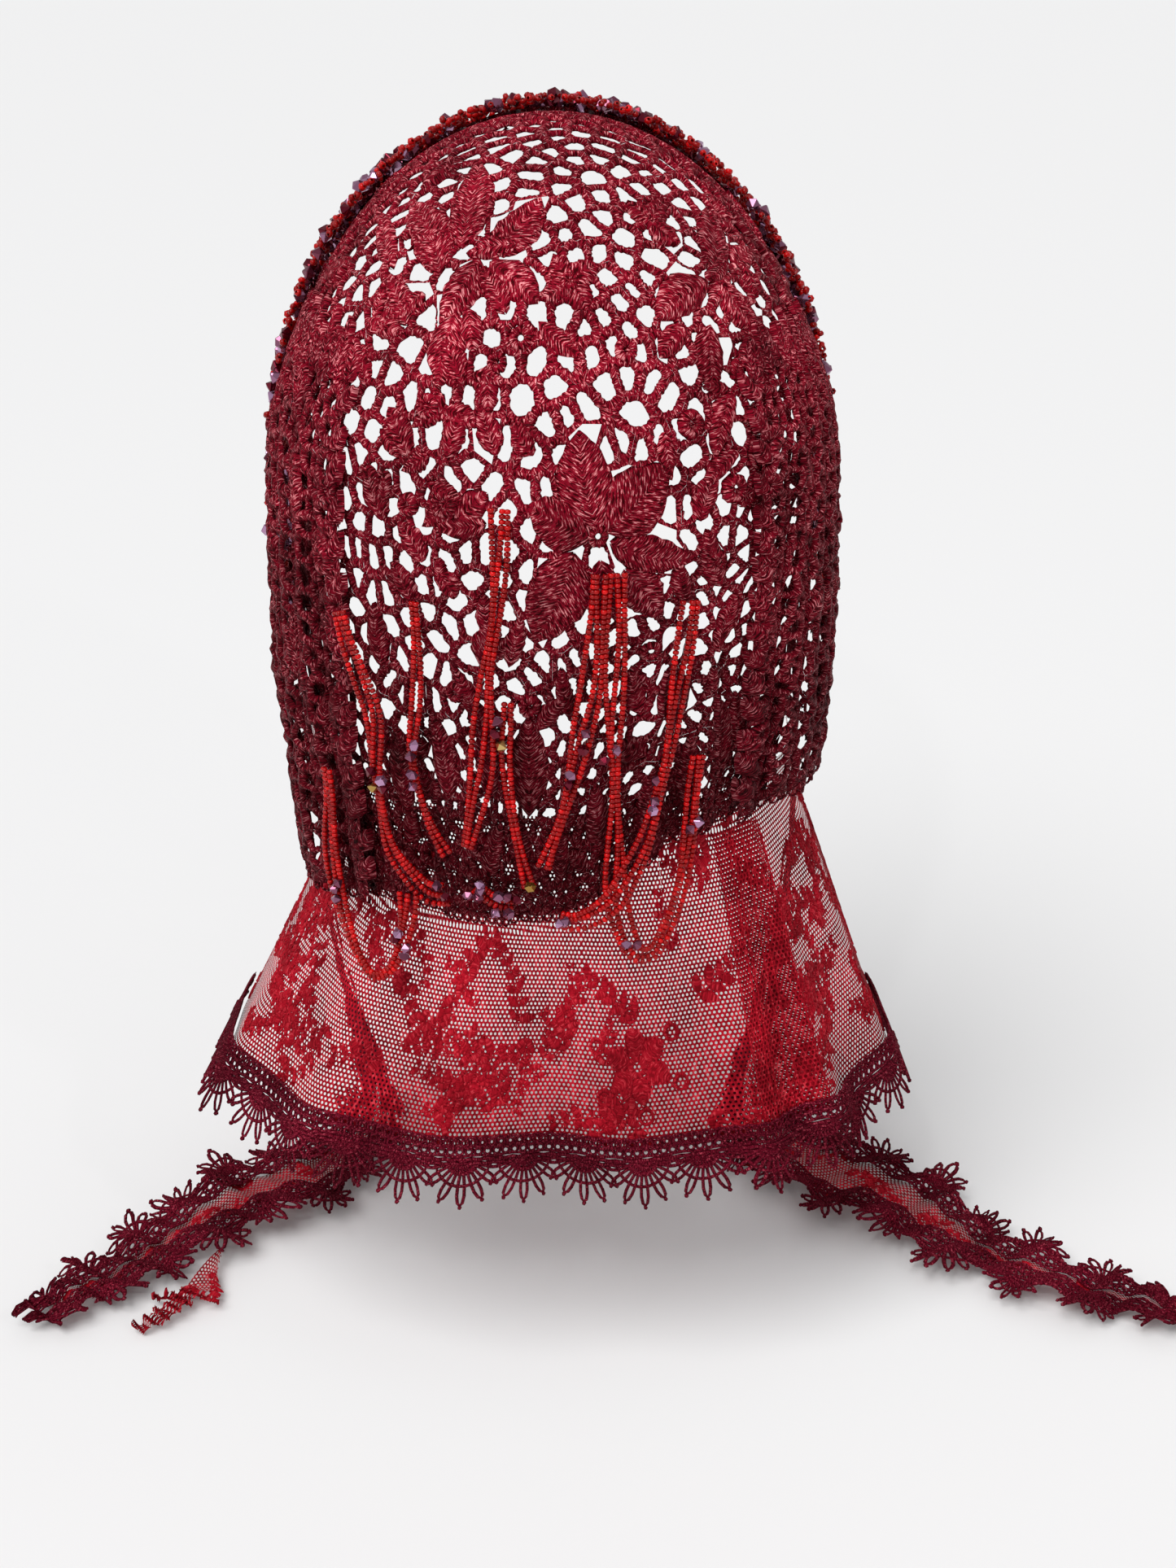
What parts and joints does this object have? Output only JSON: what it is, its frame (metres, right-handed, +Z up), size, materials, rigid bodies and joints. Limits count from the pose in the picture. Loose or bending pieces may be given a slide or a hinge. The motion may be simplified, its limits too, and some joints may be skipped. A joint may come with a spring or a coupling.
{
  "type": "lace turban cap",
  "caption": "Turban cap in pierced guipure lace over the crown and sides, with a beaded front edge, bead swags at the back, a flared net neck flap with scalloped trim, and ties.",
  "frame": {"origin": "where the top of the wearer's head touches the inside of the crown", "axes": "+Z up along the head, +Y the way the wearer faces, +X to the wearer's right"},
  "size_m": [0.4313, 0.1893, 0.4166],
  "materials": {
    "guipure_lace": "satin embroidery thread, crimson, with raised stitches",
    "dark_trim": "dark burgundy corded lace trim",
    "net_lace": "sheer red net with tone-on-tone leaves",
    "seed_beads": "silver-lined red glass seed beads with garnet faceted beads"
  },
  "bodies": {
    "root": {"crown_lace": "guipure_lace", "side_lace_left": "guipure_lace", "side_lace_right": "guipure_lace", "front_band": "guipure_lace", "front_beads": "seed_beads", "neck_flap": "net_lace", "flap_trim": "dark_trim", "tie_left_net": "net_lace", "tie_left_trim": "dark_trim", "tie_right_net": "net_lace", "tie_right_trim": "dark_trim", "net_scrap": "net_lace", "swag_1": "seed_beads", "swag_2": "seed_beads", "swag_3": "seed_beads", "swag_4": "seed_beads", "swag_5": "seed_beads", "swag_6": "seed_beads", "swag_7": "seed_beads", "swag_8": "seed_beads", "swag_9": "seed_beads"}
  },
  "joints": []
}
